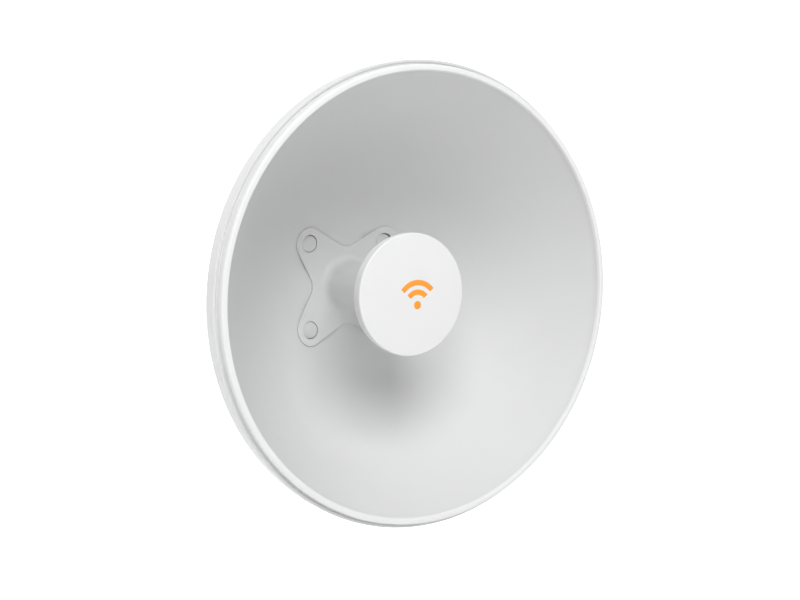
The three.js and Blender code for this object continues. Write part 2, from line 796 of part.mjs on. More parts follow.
function glandBodyGeometry() {
  const { bodyR, boreR, chinZ, bodyEnd } = gland;
  const tube = solidOf(glandLathe([[boreR, GAP], [bodyR, GAP], [bodyR, bodyEnd], [boreR, bodyEnd]]));
  const flange = upright(14, chinZ - 5.3, chinZ - GAP, 6);
  return geometryOf(cutFrom(tube.add(solidOf(flange)), upright(boreR, chinZ - 22, chinZ + 2, 20)));
}

function glandNutGeometry() {
  const { y, bodyR, nutR, boreR, chinZ, grips, nutEnd } = gland;
  const inner = bodyR + GAP + 0.1;
  const mouthR = boreR - 1.2;
  const profile = [
    [inner, 6], [nutR - 0.8, 6], [nutR, 7], [nutR, 22], [nutR - 2.5, 27], [nutR - 5, nutEnd],
    [mouthR, nutEnd], [mouthR, 26.5], [inner, 21.5],
  ];
  const gripR = nutR + 0.5;
  const grooves = Array.from({ length: grips }, (_, i) => {
    const a = ((i + 0.5) / grips) * 2 * Math.PI;
    const groove = new THREE.CylinderGeometry(1.4, 1.4, 15, 6).rotateX(Math.PI / 2);
    return groove.translate(gripR * Math.cos(a), y + gripR * Math.sin(a), chinZ - 14);
  });
  return geometryOf(cutFrom(solidOf(glandLathe(profile, 24)), ...grooves));
}

const glandSealGeometry = () =>
  glandLathe([
    [gland.cableR, 2], [gland.boreR - GAP, 2], [gland.boreR - GAP, 19.5],
    [gland.boreR + 1.5, 20.2], [gland.boreR + 0.6, 22.4], [gland.boreR - 1.6, 25], [gland.cableR, 26],
  ]);

// ---------------------------------------------------------------- pole bracket and clamp

// The arc slot that the lock bolts run in, with rounded ends.
function slotShape() {
  const reach = pivot.tiltDeg + 0.6;
  const half = bolt8.clearR;
  const rad = (deg) => (deg * Math.PI) / 180;
  const at = (r, deg) => [pivot.y + r * Math.cos(rad(deg)), pivot.z + r * Math.sin(rad(deg))];
  const from = pivot.slotDeg - reach;
  const to = pivot.slotDeg + reach;
  const outer = steps(from, to, 8).map((deg) => at(pivot.slotR + half, deg));
  const inner = steps(to, from, 8).map((deg) => at(pivot.slotR - half, deg));
  const end = (deg, turnFrom) =>
    steps(0, 180, 6).slice(1, -1).map((t) => {
      const [cy, cz] = at(pivot.slotR, deg);
      return [cy + half * Math.cos(rad(turnFrom + t)), cz + half * Math.sin(rad(turnFrom + t))];
    });
  const points = [...outer, ...end(to, to), ...inner, ...end(from, from + 180)];
  return new THREE.Shape(points.map(([y, z]) => new THREE.Vector2(y, z)));
}

function poleBracketGeometry() {
  const { webY, gauge, earX, bend, top, bottom } = bracket;
  const side = [
    [-36, bottom], [-52, bottom], [-60, -30], [-76, -12], [-79, 4], [-104, 20],
    [-103, 40], [-88, 54], [-70, top], [-36, top],
  ];
  const channel = solidOf(alongZ(channelShape(earX, gauge, webY, -112, bend), -70, 70));
  const body = channel.intersect(solidOf(alongX(roundedPolygon(side, 9), -past.side, past.side)));
  const squareHoles = quarters.map(([sx, sz]) => {
    const x = sx * clamp.boltX;
    const z = sz * clamp.boltZ;
    return box(x - squareHalf, x + squareHalf, -45, -35, z - squareHalf, z + squareHalf);
  });
  const pivotHoles = alongX(circle(pivot.y, pivot.z, bolt8.clearR), -past.side, past.side, 6);
  const slots = alongX(slotShape(), -past.side, past.side);
  return geometryOf(cutFrom(body, pivotHoles, slots, ...squareHoles));
}

// One clamp jaw in plan, drawn for the front of the pole: wings for the bolts and a toothed vee.
function jawShape() {
  const { poleR, baseY, boltX, wing, tipX, tipY, toothDepth } = clamp;
  const wingX = boltX + wing;
  const apexY = -(poleR * Math.SQRT2 + 0.2);
  const teeth = steps(tipX, 3, 12).map((x, i) => [x, apexY + x - (i % 2) * toothDepth]);
  const flank = [[wingX, -baseY], [wingX, 5 - baseY], [boltX - 8.4, 5.8 - baseY], [tipX + 1.6, tipY]];
  const half = [...flank, ...teeth];
  const points = [...half, ...half.map(([x, y]) => [-x, y]).reverse()];
  return new THREE.Shape(points.map(([x, y]) => new THREE.Vector2(x, y)));
}

function jawGeometry() {
  const body = solidOf(alongZ(jawShape(), -clamp.jawHeight / 2, clamp.jawHeight / 2));
  const holes = sides.map(([, sx]) => disc(bolt8.clearR + 0.2, -60, 0, 12).translate(sx * clamp.boltX, 0, 0));
  return geometryOf(cutFrom(body, ...holes));
}

function addMount(parent) {
  place("pole_bracket", poleBracketGeometry(), finish.coatedSteel, parent);
  for (const [word, side] of levels) {
    const jaw = place(`front_jaw_${word}`, jawGeometry(), finish.castMetal, parent);
    jaw.position.z = side * clamp.boltZ;
  }
  quarters.forEach(([sx, sz], i) => {
    const headY = bracket.webY - bracket.gauge - GAP;
    const bolt = place(`clamp_bolt_${i + 1}`, carriageBolt(clamp.boltEndY - headY), finish.zinc, parent);
    bolt.position.set(sx * clamp.boltX, headY, sz * clamp.boltZ);
  });
}

function addRearJaw(parent, word, side) {
  const jaw = place(`rear_jaw_${word}`, jawGeometry(), finish.castMetal, parent);
  jaw.rotation.z = Math.PI;
  jaw.position.z = side * clamp.boltZ;
  for (const [hand, sx] of sides) {
    const nut = place(`clamp_nut_${word}_${hand}`, m8Nut(), finish.zinc, parent);
    nut.position.set(sx * clamp.boltX, clamp.baseY + GAP, side * clamp.boltZ);
  }
}

// ---------------------------------------------------------------- assembly

addMount(group);
for (const [word, side] of levels) addRearJaw(group, word, side);
addHead(group);
addRadio(group);
place("gland_body", glandBodyGeometry(), finish.blackPlastic);
place("gland_seal", glandSealGeometry(), finish.rubber);
place("gland_nut", glandNutGeometry(), finish.blackPlastic);

export default group;
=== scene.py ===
"""Outdoor wireless bridge: a 400 mm dish with a capped feed, a twist-on radio and a tilting pole clamp.

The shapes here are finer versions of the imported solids, in the same frame: the pole's axis is Z and the
dish looks along -Y. Lengths are written in millimetres and turned into metres when a mesh is made.
"""
import json
import math

import bmesh
import bpy
from mathutils import Matrix, Vector


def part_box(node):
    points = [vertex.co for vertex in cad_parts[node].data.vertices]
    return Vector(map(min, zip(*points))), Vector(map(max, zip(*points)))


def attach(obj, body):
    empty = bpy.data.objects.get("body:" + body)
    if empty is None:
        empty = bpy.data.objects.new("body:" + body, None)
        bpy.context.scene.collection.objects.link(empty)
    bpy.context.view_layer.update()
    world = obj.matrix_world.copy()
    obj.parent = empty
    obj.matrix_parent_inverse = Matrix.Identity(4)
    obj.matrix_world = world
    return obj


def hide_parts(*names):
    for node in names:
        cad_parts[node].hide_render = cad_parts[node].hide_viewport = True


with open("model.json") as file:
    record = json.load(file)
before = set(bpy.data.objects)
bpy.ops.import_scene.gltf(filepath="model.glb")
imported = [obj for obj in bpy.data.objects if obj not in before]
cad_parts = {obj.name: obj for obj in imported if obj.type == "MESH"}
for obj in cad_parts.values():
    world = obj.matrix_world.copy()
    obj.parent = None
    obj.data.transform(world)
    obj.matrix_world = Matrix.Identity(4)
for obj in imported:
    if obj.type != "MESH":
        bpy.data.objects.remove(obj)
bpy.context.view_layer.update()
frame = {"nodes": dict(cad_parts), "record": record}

MM = 0.001
GAP = 0.3  # air between two pieces that touch


def mm_box(node):
    low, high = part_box(node)
    return low / MM, high / MM


# ---------------------------------------------------------------- sizes, from the frame where it has them

dish_low, dish_high = mm_box("reflector")
cap_low, cap_high = mm_box("feed_cap")
radio_high = mm_box("radio_front")[1]
yoke_low, yoke_high = mm_box("yoke")
bracket_high = mm_box("pole_bracket")[1]

DISH_WALL = 2
OUTER_R = dish_high.x
APERTURE_R = OUTER_R - 10
CREST_Y = dish_low.y
APERTURE_Y = CREST_Y + 3
VERTEX_Y = dish_high.y - DISH_WALL
FLAT_R = 45  # the bowl's curve starts here, outside a flat middle
HOLE_R = 30  # the hole in the bowl's middle
BACK_R = 187  # the bowl's back meets the underside of the flange here
FLANGE_DROP = 4  # from the aperture back to the flange's front face
SKIRT = 13
BEAD_R = APERTURE_R + 5.5
GROOVE = 1.8  # width of the groove between the bead and the band
GROOVE_DEPTH = 1.0  # its depth in the flange
CURVE_K = (APERTURE_R - FLAT_R) ** 2 / (VERTEX_Y - APERTURE_Y)

LOBE = 41.5  # the feed's studs stand this far out in X and in Z
LOBE_R = 15
WAIST = 38
TUBE_R = 23.3
BORE_R = 21.2
PLATE = 1.6
SPIGOT_R = 29.5  # the feed's round step in the hole of the bowl
TAIL_Y = -112  # the feed's tube ends here
BOSS_R = 9.8  # a boss on the feed's back for each stud, and its hole in the bowl and the hub
BOSS_HOLE_R = 10.2
STUD_HOLE_R = 3.4
STUD_SEAT_Y = VERTEX_Y + 0.8
CAP_R = cap_high.x
CAP_FRONT_Y = cap_low.y
CAP_BACK_Y = mm_box("cap_base")[1].y
CAP_SKIRT_Y = CAP_FRONT_Y + (CAP_BACK_Y - CAP_FRONT_Y) * 0.56
CAP_WALL = 1.8

HUB_BARREL_R = 44
HUB_CAVITY_R = 40  # the socket that the radio's lugs turn in, and the lip that holds them
HUB_LIP_R = 35.5
HUB_LIP_Y = -115.5

SHEET = 3  # gauge of the yoke and the bracket
NECK_HOLE = 4.15  # half the width of a square hole for a carriage bolt's neck
PIVOT_Y = -62
SLOT_R = 42
SLOT_DEG = 120
TILT_DEG = 15
LOCK_Y = PIVOT_Y + SLOT_R * math.cos(math.radians(SLOT_DEG))
LOCK_Z = SLOT_R * math.sin(math.radians(SLOT_DEG))

RADIO_R = radio_high.x
RADIO_WALL = 2.5
SPLIT_Y = radio_high.y
PANEL_Y = -68
FIN_Y = mm_box("radio_back")[1].y
GLAND_Y = -78.5
GLAND_BORE_R = 8.5
CHIN_Z = -60
bolt_low, bolt_high = mm_box("clamp_bolt_1")
CLAMP_X = (bolt_low.x + bolt_high.x) / 2
CLAMP_Z = (bolt_low.z + bolt_high.z) / 2

QUARTERS = [(1, 1), (-1, 1), (-1, -1), (1, -1)]
SIDES = [("left", -1), ("right", 1)]
LUG_TURNS = (0, 120, 240)

FORWARD = -160  # cutters that pass through the dish or hub start here, in front of the vertex
ASIDE = 80  # and those that pass through the yoke or bracket reach this far to either side

STAGE_GLOW = 0.6


def dish_y(r):
    """The bowl's front face at a radius: flat in the middle, then a parabola."""
    return VERTEX_Y - max(0.0, r - FLAT_R) ** 2 / CURVE_K


def behind_dish(r, distance):
    """The point a distance behind the bowl's front face, measured square to it."""
    slope = 2 * max(0.0, r - FLAT_R) / CURVE_K
    length = math.hypot(1, slope)
    return (r + distance * slope / length, dish_y(r) + distance / length)


def steps(start, end, count):
    """Evenly spaced values, with both ends."""
    return [start + (end - start) * i / count for i in range(count + 1)]


# ---------------------------------------------------------------- outlines

def fillet(points, radius, arc_steps=4, closed=True):
    """The outline with each corner turned into a short curve of up to that radius."""
    result = []
    count = len(points)
    for i, point in enumerate(points):
        if not closed and i in (0, count - 1):
            result.append(tuple(point))
            continue
        here = Vector(point)
        before = Vector(points[i - 1]) - here
        after = Vector(points[(i + 1) % count]) - here
        if before.length < 1e-6 or after.length < 1e-6:
            continue
        bend = before.angle(after)
        if bend > math.radians(172):
            result.append(tuple(here))
            continue
        cut = min(radius / math.tan(bend / 2), before.length * 0.45, after.length * 0.45)
        a = here + before.normalized() * cut
        b = here + after.normalized() * cut
        for step in range(arc_steps + 1):
            t = step / arc_steps
            result.append(tuple(a * (1 - t) ** 2 + here * 2 * t * (1 - t) + b * t**2))
    return result


def lobed_outline(lobe_r, waist, waist_r=17.0, arc_steps=14):
    """Round lobes on the four studs, joined by straight flanks and round waists, counterclockwise."""
    lobe_centre = Vector((LOBE, LOBE))
    waist_centre = Vector((0, waist + waist_r))
    gap = waist_centre - lobe_centre
    heading = math.atan2(gap.y, gap.x)
    tangent = heading - math.acos((lobe_r + waist_r) / gap.length)
    quarter = []
    for a in steps(math.pi / 2 - tangent, tangent, arc_steps * 2):
        quarter.append(lobe_centre + lobe_r * Vector((math.cos(a), math.sin(a))))
    for a in steps(tangent - math.pi, -math.pi - (tangent - math.pi), arc_steps):
        quarter.append(waist_centre + waist_r * Vector((math.cos(a), math.sin(a))))
    outline = []
    for turn in range(4):
        spin = Matrix.Rotation(turn * math.pi / 2, 2)
        outline.extend(tuple(spin @ p) for p in quarter)
    return outline


# ---------------------------------------------------------------- mesh building

def mesh_object(name, vertices, faces):
    mesh = bpy.data.meshes.new(name)
    mesh.from_pydata([Vector(v) * MM for v in vertices], [], faces)
    mesh.validate()
    piece = bpy.data.objects.new(name, mesh)
    bpy.context.scene.collection.objects.link(piece)
    return tidy(piece)


def tidy(piece):
    """Joins doubled points and turns every face outwards."""
    bm = bmesh.new()
    bm.from_mesh(piece.data)
    bmesh.ops.remove_doubles(bm, verts=bm.verts, dist=1e-6)
    bmesh.ops.recalc_face_normals(bm, faces=bm.faces)
    bm.to_mesh(piece.data)
    bm.free()
    return piece


def lathe(name, outline, segments=96, rounding=0.0):
    """A closed outline of (r, y) points turned about the Y axis."""
    if rounding:
        outline = fillet(outline, rounding)
    rows = len(outline)
    vertices = []
    for s in range(segments):
        a = 2 * math.pi * s / segments
        vertices.extend((r * math.cos(a), y, r * math.sin(a)) for r, y in outline)
    faces = []
    for s in range(segments):
        t = (s + 1) % segments
        for i in range(rows):
            j = (i + 1) % rows
            if outline[i][0] < 1e-6 and outline[j][0] < 1e-6:
                continue
            faces.append((s * rows + i, s * rows + j, t * rows + j, t * rows + i))
    return mesh_object(name, vertices, faces)


def loft(name, rings):
    """Rings of points joined one to the next, and the last to the first."""
    count = len(rings[0])
    vertices = [point for ring in rings for point in ring]
    faces = []
    for row in range(len(rings)):
        here, following = row * count, (row + 1) % len(rings) * count
        for i in range(count):
            j = (i + 1) % count
            faces.append((here + i, here + j, following + j, following + i))
    return mesh_object(name, vertices, faces)


def prism(name, outline, low, high, axis="Y"):
    """A closed outline extruded along an axis. The outline is (x, z) for Y, (x, y) for Z and (y, z) for X."""
    place = {
        "Y": lambda p, h: (p[0], h, p[1]),
        "Z": lambda p, h: (p[0], p[1], h),
        "X": lambda p, h: (h, p[0], p[1]),
    }[axis]
    count = len(outline)
    vertices = [place(p, low) for p in outline] + [place(p, high) for p in outline]
    faces = [tuple(range(count)), tuple(range(2 * count - 1, count - 1, -1))]
    faces += [(i, (i + 1) % count, count + (i + 1) % count, count + i) for i in range(count)]
    return mesh_object(name, vertices, faces)


def ring_points(radius, count, centre=(0, 0)):
    return [
        (
            centre[0] + radius * math.cos(2 * math.pi * i / count),
            centre[1] + radius * math.sin(2 * math.pi * i / count),
        )
        for i in range(count)
    ]


def rod(centre, radius, low, high, axis="Y", count=48):
    return prism("cutter", ring_points(radius, count, centre), low, high, axis)


def block(x0, x1, y0, y1, z0, z1):
    return prism("cutter", [(x0, y0), (x1, y0), (x1, y1), (x0, y1)], z0, z1, "Z")


def apply_modifiers(piece):
    depsgraph = bpy.context.evaluated_depsgraph_get()
    mesh = bpy.data.meshes.new_from_object(piece.evaluated_get(depsgraph))
    piece.modifiers.clear()
    old = piece.data
    piece.data = mesh
    bpy.data.meshes.remove(old)
    return piece


def combine(piece, operation, *others):
    """Joins, cuts or intersects a piece with others, which are used up."""
    for other in others:
        modifier = piece.modifiers.new("combine", "BOOLEAN")
        modifier.operation = operation
        modifier.solver = "EXACT"
        modifier.object = other
        apply_modifiers(piece)
        bpy.data.objects.remove(other)
    return piece


def dissolve_flat(piece, degrees=1.0):
    bm = bmesh.new()
    bm.from_mesh(piece.data)
    bmesh.ops.remove_doubles(bm, verts=bm.verts, dist=2e-6)
    bmesh.ops.dissolve_limit(bm, angle_limit=math.radians(degrees), verts=bm.verts, edges=bm.edges)
    bm.to_mesh(piece.data)
    bm.free()
    return piece


def bevel(piece, width, angle=32, segments=2):
    modifier = piece.modifiers.new("bevel", "BEVEL")
    modifier.width = width * MM
    modifier.segments = segments
    modifier.limit_method = "ANGLE"
    modifier.angle_limit = math.radians(angle)
    modifier.use_clamp_overlap = True
    modifier.harden_normals = False
    return apply_modifiers(piece)


def shade(piece, angle=32):
    mesh = piece.data
    mesh.polygons.foreach_set("use_smooth", [True] * len(mesh.polygons))
    mesh.set_sharp_from_angle(angle=math.radians(angle))
    return piece


def cad_copy(node, name):
    """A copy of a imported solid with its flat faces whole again."""
    piece = bpy.data.objects.new(name, frame["nodes"][node].data.copy())
    bpy.context.scene.collection.objects.link(piece)
    return dissolve_flat(piece)


def finish_piece(piece, body, node, slot, angle=32):
    """Gives a piece its shading, finish and body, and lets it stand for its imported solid."""
    shade(piece, angle)
    piece.data.materials.clear()
    piece.data.materials.append(FINISH[slot])
    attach(piece, body)
    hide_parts(node)


# ---------------------------------------------------------------- finishes

def link(tree, source, output, target, socket):
    tree.links.new(source.outputs[output], target.inputs[socket])


def noise(tree, coordinates, scale, detail, roughness):
    node = tree.nodes.new("ShaderNodeTexNoise")
    node.inputs["Scale"].default_value = scale
    node.inputs["Detail"].default_value = detail
    node.inputs["Roughness"].default_value = roughness
    link(tree, coordinates, "Object", node, "Vector")
    return node


def settle_dust(tree, coordinates, surface, dust):
    """Specks of dust over a surface's colour, most where it faces up."""
    geometry = tree.nodes.new("ShaderNodeNewGeometry")
    split = tree.nodes.new("ShaderNodeSeparateXYZ")
    link(tree, geometry, "Normal", split, "Vector")
    settle = tree.nodes.new("ShaderNodeMapRange")
    settle.inputs["From Min"].default_value = 0.2
    settle.inputs["From Max"].default_value = 1.0
    settle.inputs["To Max"].default_value = dust
    link(tree, split, "Z", settle, "Value")
    specks = noise(tree, coordinates, 160.0, 5.0, 0.7)
    amount = tree.nodes.new("ShaderNodeMath")
    amount.operation = "MULTIPLY"
    link(tree, settle, "Result", amount, 0)
    link(tree, specks, "Fac", amount, 1)
    mix = tree.nodes.new("ShaderNodeMixRGB")
    mix.inputs["Color2"].default_value = (0.55, 0.53, 0.49, 1)
    link(tree, amount, "Value", mix, "Fac")
    link(tree, surface, "Color", mix, "Color1")
    return mix


def finish(slot, color, roughness, metallic=0.0, shift=0.03, grain=900.0, depth=0.15, gloss_spread=0.06,
           dust=0.0, coat=0.0, specular=0.5):
    """A surface with slow colour drift, fine grain, uneven gloss and some dust that settles on top."""
    material = bpy.data.materials.new(slot)
    material.use_nodes = True
    tree = material.node_tree
    shader = tree.nodes["Principled BSDF"]
    shader.inputs["Metallic"].default_value = metallic
    shader.inputs["Coat Weight"].default_value = coat
    shader.inputs["Specular IOR Level"].default_value = specular
    coordinates = tree.nodes.new("ShaderNodeTexCoord")

    drift = noise(tree, coordinates, 14.0, 4.0, 0.6)
    ramp = tree.nodes.new("ShaderNodeValToRGB")
    darker = [c * (1 - shift) for c in color]
    lighter = [min(1.0, c * (1 + shift * 0.6)) for c in color]
    ramp.color_ramp.elements[0].position = 0.3
    ramp.color_ramp.elements[0].color = (*darker, 1)
    ramp.color_ramp.elements[1].position = 0.72
    ramp.color_ramp.elements[1].color = (*lighter, 1)
    link(tree, drift, "Fac", ramp, "Fac")
    surface = settle_dust(tree, coordinates, ramp, dust) if dust else ramp
    link(tree, surface, "Color", shader, "Base Color")

    gloss = noise(tree, coordinates, 45.0, 3.0, 0.6)
    spread = tree.nodes.new("ShaderNodeMapRange")
    spread.inputs["To Min"].default_value = roughness - gloss_spread
    spread.inputs["To Max"].default_value = roughness + gloss_spread
    link(tree, gloss, "Fac", spread, "Value")
    link(tree, spread, "Result", shader, "Roughness")

    if depth:
        texture = noise(tree, coordinates, grain, 3.0, 0.55)
        bump = tree.nodes.new("ShaderNodeBump")
        bump.inputs["Strength"].default_value = depth
        bump.inputs["Distance"].default_value = 0.0002
        link(tree, texture, "Fac", bump, "Height")
        link(tree, bump, "Normal", shader, "Normal")
    return material


FINISH = {
    slot: finish(slot, color, roughness, **details)
    for slot, color, roughness, details in (
        ("reflector_coating", (0.68, 0.682, 0.685), 0.5, dict(grain=2200, depth=0.12, shift=0.012)),
        # painted light: the bowl's paint made lighter for the bead's front, a painted highlight standing in
        # for the light it catches
        ("bead_painted_light", (0.80, 0.802, 0.805), 0.5, dict(grain=2200, depth=0.12, shift=0.012)),
        ("feed_plastic", (0.69, 0.692, 0.695), 0.48, dict(grain=1600, depth=0.08, shift=0.012)),
        ("cap_plastic", (0.80, 0.80, 0.805), 0.38, dict(grain=900, depth=0.03, shift=0.008)),
        ("screw_coating", (0.67, 0.672, 0.675), 0.45, dict(grain=1400, depth=0.08, shift=0.02)),
        ("radio_plastic", (0.80, 0.805, 0.80), 0.55, dict(grain=2600, depth=0.3, shift=0.02, dust=0.2)),
        ("cast_metal", (0.46, 0.465, 0.475), 0.55,
         dict(metallic=0.85, shift=0.1, grain=700, depth=0.5, gloss_spread=0.1, dust=0.25)),
        ("bracket_coating", (0.66, 0.665, 0.67), 0.5, dict(grain=1500, depth=0.35, shift=0.03, dust=0.2)),
        ("zinc_steel", (0.62, 0.625, 0.63), 0.33,
         dict(metallic=1.0, shift=0.14, grain=420, depth=0.12, gloss_spread=0.1)),
        ("bare_aluminium", (0.74, 0.75, 0.76), 0.35,
         dict(metallic=1.0, shift=0.05, grain=600, depth=0.1, gloss_spread=0.06)),
        ("seal_rubber", (0.022, 0.023, 0.025), 0.75, dict(grain=1800, depth=0.2, shift=0.2)),
        ("dielectric", (0.78, 0.73, 0.62), 0.45, dict(grain=900, depth=0.06, shift=0.03)),
        ("circuit_board", (0.02, 0.13, 0.065), 0.4, dict(grain=700, depth=0.1, shift=0.15)),
        ("black_plastic", (0.028, 0.029, 0.031), 0.5, dict(grain=2400, depth=0.3, shift=0.15, dust=0.12)),
        ("light_pipe", (0.75, 0.82, 0.84), 0.15, dict(grain=600, depth=0.02, shift=0.02, coat=0.5)),
        ("sign_orange", (0.93, 0.34, 0.03), 0.4, dict(grain=900, depth=0.02, shift=0.03)),
    )
}


# ---------------------------------------------------------------- dish

def paint_light_on_bead(piece):
    """Paints light on the front of the rolled bead: the bowl's own paint in a lighter copy, a painted
    highlight for the light the bead catches, while the band beside it keeps the bowl's colour.
    """
    piece.data.materials.append(FINISH["bead_painted_light"])
    for face in piece.data.polygons:
        radius = math.hypot(face.center.x, face.center.z) / MM
        if APERTURE_R < radius < BEAD_R + 0.3 and face.center.y / MM < APERTURE_Y + FLANGE_DROP:
            face.material_index = 1


def make_reflector():
    flange = APERTURE_Y + FLANGE_DROP
    skirt = flange + SKIRT
    bead = fillet(
        [
            (APERTURE_R, APERTURE_Y), (APERTURE_R + 0.4, CREST_Y), (BEAD_R, CREST_Y),
            (BEAD_R + 0.3, flange + GROOVE_DEPTH), (BEAD_R + GROOVE, flange + GROOVE_DEPTH),
            (BEAD_R + GROOVE + 0.4, flange), (OUTER_R, flange), (OUTER_R, skirt),
            (OUTER_R - DISH_WALL, skirt), (OUTER_R - DISH_WALL, flange + DISH_WALL),
        ],
        2.0, 6, closed=False,
    )
    outline = [(HOLE_R, VERTEX_Y)] + [(r, dish_y(r)) for r in steps(FLAT_R, APERTURE_R, 56)][:-1]
    outline += bead
    outline += [behind_dish(r, DISH_WALL) for r in steps(BACK_R, FLAT_R, 56)]
    outline.append((HOLE_R, VERTEX_Y + DISH_WALL))
    piece = lathe("dish_bowl", outline, 256)
    holes = [rod((sx * LOBE, sz * LOBE), BOSS_HOLE_R, FORWARD, -120) for sx, sz in QUARTERS]
    combine(piece, "DIFFERENCE", *holes)
    finish_piece(piece, "head", "reflector", "reflector_coating")
    paint_light_on_bead(piece)


# ---------------------------------------------------------------- feed

def tube_rows(flare_r, flare_length):
    """The (radius, y) of each ring of the tube, from its mouth to the end of the flare on the plate."""
    foot = VERTEX_Y - GAP - PLATE
    rows = [(BORE_R, CAP_BACK_Y + GAP), (TUBE_R, CAP_BACK_Y + GAP)]
    rows += [(TUBE_R, y) for y in steps(CAP_BACK_Y + 4, foot - flare_length - 1, 8)]
    for a in steps(0, math.pi / 2, 10):
        r = TUBE_R + (flare_r - TUBE_R) * (1 - math.cos(a))
        rows.append((r, foot - flare_length * (1 - math.sin(a))))
    return rows


def make_feed_body():
    """The tube, its flare and the four-lobed plate, as rings of points from its mouth round to its bore."""
    outline = lobed_outline(LOBE_R, WAIST)
    headings = [Vector(p).normalized() for p in outline]
    reach = [Vector(p).length for p in outline]
    flare_r, flare_length = 31.0, 9.0
    edge = 0.6  # the plate's edge is rounded by this much
    spigot_y = VERTEX_Y + 2.3

    def front(r):
        return dish_y(r) - GAP - PLATE

    def back(r):
        return dish_y(r) - GAP

    def round_ring(r, y):
        return [(h.x * r, y, h.y * r) for h in headings]

    def plate_ring(radii, surface, drop=0.0):
        return [(h.x * r, surface(r) + drop, h.y * r) for h, r in zip(headings, radii)]

    rings = [round_ring(r, y) for r, y in tube_rows(flare_r, flare_length)]
    for share in steps(0, 1, 10)[1:]:
        rings.append(plate_ring([flare_r + (full - edge - flare_r) * share for full in reach], front))
    for a in steps(0, math.pi / 2, 4)[1:]:
        radii = [full - edge * (1 - math.sin(a)) for full in reach]
        rings.append(plate_ring(radii, front, edge * (1 - math.cos(a))))
    rings.append(plate_ring(reach, back))
    for share in steps(1, 0, 8)[1:]:
        rings.append(plate_ring([SPIGOT_R + (full - SPIGOT_R) * share for full in reach], back))
    for r, y in [(SPIGOT_R, spigot_y), (TUBE_R, spigot_y), (TUBE_R, TAIL_Y), (BORE_R, TAIL_Y)]:
        rings.append(round_ring(r, y))
    piece = loft("feed_tube_and_plate", rings)
    for sx, sz in QUARTERS:
        centre = (sx * LOBE, sz * LOBE)
        combine(piece, "UNION", rod(centre, BOSS_R, VERTEX_Y - 1.2, VERTEX_Y + 3.7))
        seat = rod(centre, 8.5, FORWARD, STUD_SEAT_Y)
        combine(piece, "DIFFERENCE", seat, rod(centre, STUD_HOLE_R, -150, -120, count=24))
    finish_piece(piece, "head", "feed_body", "feed_plastic", 28)


def make_cap_face():
    inside_r, inside_y = CAP_R - CAP_WALL, CAP_FRONT_Y + CAP_WALL
    outline = [
        (0.0, CAP_FRONT_Y), (CAP_R, CAP_FRONT_Y), (CAP_R, CAP_SKIRT_Y), (inside_r, CAP_SKIRT_Y),
        (inside_r, inside_y), (0.0, inside_y),
    ]
    face = lathe("feed_cap_face", fillet(outline, 1.5, 8, closed=False), 192)
    finish_piece(face, "head", "feed_cap", "cap_plastic")


def make_cap_base():
    """The cap's base, with a tongue inside the cap's skirt and a groove left open between the two."""
    groove = CAP_SKIRT_Y + 1.1
    base_r = mm_box("cap_base")[1].x
    inner = CAP_R - CAP_WALL - GAP
    ring = [
        (0.0, CAP_BACK_Y), (base_r, CAP_BACK_Y), (base_r, groove), (inner, groove), (inner, groove - 1.8),
        (inner - 1.3, groove - 1.8), (inner - 1.3, groove + 0.6), (0.0, groove + 0.6),
    ]
    base = lathe("feed_cap_base", fillet(ring, 0.7, 5, closed=False), 192)
    finish_piece(base, "head", "cap_base", "cap_plastic")


def make_mark():
    """A generic orange sign on the cap: a dot with two arcs over it."""
    y0, y1 = CAP_FRONT_Y - 0.12, CAP_FRONT_Y + 0.4
    centre = (5.0, -9.5)
    spread = math.radians(50)
    half_width = 2.4

    def arc(radius, start, end):
        return [
            (centre[0] + radius * math.sin(a), centre[1] + radius * math.cos(a))
            for a in steps(start, end, 32)
        ]

    dot = rod(centre, 3.7, y0, y1)
    dot.name = "cap_sign_dot"
    parts = [dot]
    for number, radius in enumerate((11.5, 20.0)):
        outline = arc(radius + half_width, -spread, spread) + arc(radius - half_width, spread, -spread)
        parts.append(prism(f"cap_sign_arc_{number + 1}", fillet(outline, 1.2), y0, y1))
    for part in parts:
        bevel(part, 0.06, 50, 2)
        shade(part)
        part.data.materials.append(FINISH["sign_orange"])
        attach(part, "head")


def make_studs():
    for i, (sx, sz) in enumerate(QUARTERS):
        low, high = mm_box(f"feed_stud_{i + 1}")
        seat = STUD_SEAT_Y - GAP
        head_r = (high.x - low.x) / 2
        head = [(0, low.y), (head_r, low.y), (head_r, seat), (3, seat), (3, high.y), (0, high.y)]
        piece = lathe(f"stud_{i + 1}", fillet(head, 0.35, 3, closed=False), 64)
        piece.data.transform(Matrix.Translation((sx * LOBE * MM, 0, sz * LOBE * MM)))
        finish_piece(piece, "head", f"feed_stud_{i + 1}", "screw_coating")


# ---------------------------------------------------------------- fasteners

def thread(radius, low, high, pitch=1.25, around=20, per_turn=6):
    """A rod along Y with a helical thread and flat ends."""
    rows = max(2, int((high - low) / pitch * per_turn))
    depth = 0.55 * pitch * 0.62  # shallower than a real thread, which is about 0.61 of its pitch
    vertices = []
    for i in range(rows + 1):
        y = low + (high - low) * i / rows
        for k in range(around):
            wave = abs(((y / pitch + k / around) % 1.0) * 2 - 1)
            ends = min(1.0, (y - low) / pitch + 0.2, (high - y) / pitch + 0.2)
            r = radius - depth + depth * wave * ends
            a = 2 * math.pi * k / around
            vertices.append((r * math.cos(a), y, r * math.sin(a)))
    faces = []
    for i in range(rows):
        here, above = i * around, (i + 1) * around
        for k in range(around):
            following = (k + 1) % around
            faces.append((here + k, here + following, above + following, above + k))
    faces.append(tuple(range(around)))
    faces.append(tuple(range(rows * around + around - 1, rows * around - 1, -1)))
    return mesh_object("thread", vertices, faces)


def merge(name, *pieces):
    """Puts closed bodies that overlap or touch into one piece, as one solid."""
    first = combine(pieces[0], "UNION", *pieces[1:])
    first.name = name
    first.data.name = name
    return first


